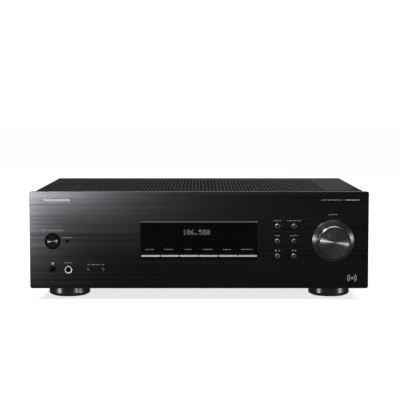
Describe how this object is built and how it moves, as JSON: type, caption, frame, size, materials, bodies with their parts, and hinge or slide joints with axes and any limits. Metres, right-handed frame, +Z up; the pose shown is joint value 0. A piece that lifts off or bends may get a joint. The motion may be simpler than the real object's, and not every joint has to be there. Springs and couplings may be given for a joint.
{
  "type": "stereo receiver",
  "caption": "Full-width stereo receiver in a black case: brushed front panel with a display, bar keys and a large volume knob, on round feet.",
  "frame": {"origin": "on the surface the feet stand on, under the centre of the bounding box", "axes": "+X to the right as seen from the front, +Y towards the rear panel, +Z up; the front panel faces -Y"},
  "size_m": [0.435, 0.321, 0.1395],
  "materials": {
    "black_aluminium": "black anodised, brushed along its length",
    "turned_aluminium": "dark anodised, turned with fine concentric lines",
    "plain_aluminium": "plain extruded",
    "black_plastic": "fine moulded texture",
    "gloss_black": "gloss moulded",
    "silver_plastic": "satin metallised",
    "red_plastic": "gloss moulded",
    "smoked_window": "clear-gloss smoked acrylic",
    "display_glass": "dark glass over a dot matrix",
    "bright_metal": "nickel plated",
    "painted_steel": "satin black powder coat",
    "plain_steel": "zinc plated sheet",
    "laminations": "varnished laminations",
    "copper_winding": "enamelled wire under tape",
    "circuit_board": "green solder mask",
    "capacitor_sleeve": "shrink sleeve",
    "ribbon_insulation": "flat ribbed insulation"
  },
  "bodies": {
    "receiver": {"front_panel": "black_aluminium", "front_tray": "black_plastic", "display_bezel": "gloss_black", "display_window": "smoked_window", "display_tube": "display_glass", "name_badge": "bright_metal", "volume_encoder": "bright_metal", "control_board": "circuit_board", "phones_jack": "bright_metal", "portable_jack": "black_plastic", "sensor_window": "smoked_window", "chassis_pan": "plain_steel", "rear_panel": "painted_steel", "top_cover": "painted_steel", "rca_jack_block": "black_plastic", "speaker_terminal_block": "black_plastic", "aerial_socket": "bright_metal", "mains_inlet": "black_plastic", "transformer_core": "laminations", "transformer_winding": "copper_winding", "heat_sink": "plain_aluminium", "output_transistors": "black_plastic", "amplifier_board": "circuit_board", "filter_capacitor_left": "capacitor_sleeve", "filter_capacitor_right": "capacitor_sleeve", "power_board": "circuit_board", "input_board": "circuit_board", "tuner_module": "plain_steel", "ribbon_cable": "ribbon_insulation", "foot_front_left": "gloss_black", "foot_front_right": "gloss_black", "foot_rear_left": "gloss_black", "foot_rear_right": "gloss_black"},
    "volume_control": {"volume_knob": "turned_aluminium", "volume_knob_disc": "turned_aluminium", "volume_shaft": "bright_metal"},
    "power_button": {"power_button": "turned_aluminium"},
    "input_key_1": {"input_key_1": "silver_plastic"},
    "input_key_2": {"input_key_2": "silver_plastic"},
    "input_key_3": {"input_key_3": "silver_plastic"},
    "input_key_4": {"input_key_4": "silver_plastic"},
    "input_key_5": {"input_key_5": "silver_plastic"},
    "input_key_6": {"input_key_6": "silver_plastic"},
    "speaker_key_a": {"speaker_key_a": "gloss_black"},
    "speaker_key_b": {"speaker_key_b": "gloss_black"},
    "function_key_1": {"function_key_1": "gloss_black"},
    "function_key_2": {"function_key_2": "gloss_black"},
    "function_key_3": {"function_key_3": "gloss_black"},
    "function_key_4": {"function_key_4": "gloss_black"},
    "function_key_5": {"function_key_5": "gloss_black"},
    "function_key_6": {"function_key_6": "gloss_black"},
    "speaker_post_cap_1": {"speaker_post_cap_1": "black_plastic"},
    "speaker_post_cap_2": {"speaker_post_cap_2": "red_plastic"},
    "speaker_post_cap_3": {"speaker_post_cap_3": "black_plastic"},
    "speaker_post_cap_4": {"speaker_post_cap_4": "red_plastic"},
    "speaker_post_cap_5": {"speaker_post_cap_5": "black_plastic"},
    "speaker_post_cap_6": {"speaker_post_cap_6": "red_plastic"},
    "speaker_post_cap_7": {"speaker_post_cap_7": "black_plastic"},
    "speaker_post_cap_8": {"speaker_post_cap_8": "red_plastic"},
    "earth_cap": {"earth_cap": "bright_metal"}
  },
  "joints": [
    {"name": "volume_turn", "type": "hinge", "parent": "receiver", "child": "volume_control", "pos_m": [0.1718, -0.1405, 0.076], "axis": [0, -1, 0], "continuous": true},
    {"name": "power_press", "type": "slide", "parent": "receiver", "child": "power_button", "axis": [0, 1, 0], "range_m": [0, 0.001], "stiffness_N_per_m": 1500, "springref_m": -0.0005},
    {"name": "input_1_press", "type": "slide", "parent": "receiver", "child": "input_key_1", "axis": [0, 1, 0], "range_m": [0, 0.0006], "stiffness_N_per_m": 2000, "springref_m": -0.0003},
    {"name": "input_2_press", "type": "slide", "parent": "receiver", "child": "input_key_2", "axis": [0, 1, 0], "range_m": [0, 0.0006], "stiffness_N_per_m": 2000, "springref_m": -0.0003},
    {"name": "input_3_press", "type": "slide", "parent": "receiver", "child": "input_key_3", "axis": [0, 1, 0], "range_m": [0, 0.0006], "stiffness_N_per_m": 2000, "springref_m": -0.0003},
    {"name": "input_4_press", "type": "slide", "parent": "receiver", "child": "input_key_4", "axis": [0, 1, 0], "range_m": [0, 0.0006], "stiffness_N_per_m": 2000, "springref_m": -0.0003},
    {"name": "input_5_press", "type": "slide", "parent": "receiver", "child": "input_key_5", "axis": [0, 1, 0], "range_m": [0, 0.0006], "stiffness_N_per_m": 2000, "springref_m": -0.0003},
    {"name": "input_6_press", "type": "slide", "parent": "receiver", "child": "input_key_6", "axis": [0, 1, 0], "range_m": [0, 0.0006], "stiffness_N_per_m": 2000, "springref_m": -0.0003},
    {"name": "speaker_a_press", "type": "slide", "parent": "receiver", "child": "speaker_key_a", "axis": [0, 1, 0], "range_m": [0, 0.0006], "stiffness_N_per_m": 2000, "springref_m": -0.0003},
    {"name": "speaker_b_press", "type": "slide", "parent": "receiver", "child": "speaker_key_b", "axis": [0, 1, 0], "range_m": [0, 0.0006], "stiffness_N_per_m": 2000, "springref_m": -0.0003},
    {"name": "function_1_press", "type": "slide", "parent": "receiver", "child": "function_key_1", "axis": [0, 1, 0], "range_m": [0, 0.0006], "stiffness_N_per_m": 2000, "springref_m": -0.0003},
    {"name": "function_2_press", "type": "slide", "parent": "receiver", "child": "function_key_2", "axis": [0, 1, 0], "range_m": [0, 0.0006], "stiffness_N_per_m": 2000, "springref_m": -0.0003},
    {"name": "function_3_press", "type": "slide", "parent": "receiver", "child": "function_key_3", "axis": [0, 1, 0], "range_m": [0, 0.0006], "stiffness_N_per_m": 2000, "springref_m": -0.0003},
    {"name": "function_4_press", "type": "slide", "parent": "receiver", "child": "function_key_4", "axis": [0, 1, 0], "range_m": [0, 0.0006], "stiffness_N_per_m": 2000, "springref_m": -0.0003},
    {"name": "function_5_press", "type": "slide", "parent": "receiver", "child": "function_key_5", "axis": [0, 1, 0], "range_m": [0, 0.0006], "stiffness_N_per_m": 2000, "springref_m": -0.0003},
    {"name": "function_6_press", "type": "slide", "parent": "receiver", "child": "function_key_6", "axis": [0, 1, 0], "range_m": [0, 0.0006], "stiffness_N_per_m": 2000, "springref_m": -0.0003},
    {"name": "speaker_post_turn_1", "type": "hinge", "parent": "receiver", "child": "speaker_post_cap_1", "pos_m": [-0.039, 0.1475, 0.058], "axis": [0, 1, 0], "range_deg": [0, 1080]},
    {"name": "speaker_post_turn_2", "type": "hinge", "parent": "receiver", "child": "speaker_post_cap_2", "pos_m": [-0.02, 0.1475, 0.058], "axis": [0, 1, 0], "range_deg": [0, 1080]},
    {"name": "speaker_post_turn_3", "type": "hinge", "parent": "receiver", "child": "speaker_post_cap_3", "pos_m": [-0.001, 0.1475, 0.058], "axis": [0, 1, 0], "range_deg": [0, 1080]},
    {"name": "speaker_post_turn_4", "type": "hinge", "parent": "receiver", "child": "speaker_post_cap_4", "pos_m": [0.018, 0.1475, 0.058], "axis": [0, 1, 0], "range_deg": [0, 1080]},
    {"name": "speaker_post_turn_5", "type": "hinge", "parent": "receiver", "child": "speaker_post_cap_5", "pos_m": [-0.039, 0.1475, 0.082], "axis": [0, 1, 0], "range_deg": [0, 1080]},
    {"name": "speaker_post_turn_6", "type": "hinge", "parent": "receiver", "child": "speaker_post_cap_6", "pos_m": [-0.02, 0.1475, 0.082], "axis": [0, 1, 0], "range_deg": [0, 1080]},
    {"name": "speaker_post_turn_7", "type": "hinge", "parent": "receiver", "child": "speaker_post_cap_7", "pos_m": [-0.001, 0.1475, 0.082], "axis": [0, 1, 0], "range_deg": [0, 1080]},
    {"name": "speaker_post_turn_8", "type": "hinge", "parent": "receiver", "child": "speaker_post_cap_8", "pos_m": [0.018, 0.1475, 0.082], "axis": [0, 1, 0], "range_deg": [0, 1080]},
    {"name": "earth_turn", "type": "hinge", "parent": "receiver", "child": "earth_cap", "pos_m": [0.188, 0.1475, 0.06], "axis": [0, 1, 0], "range_deg": [0, 1080]}
  ]
}
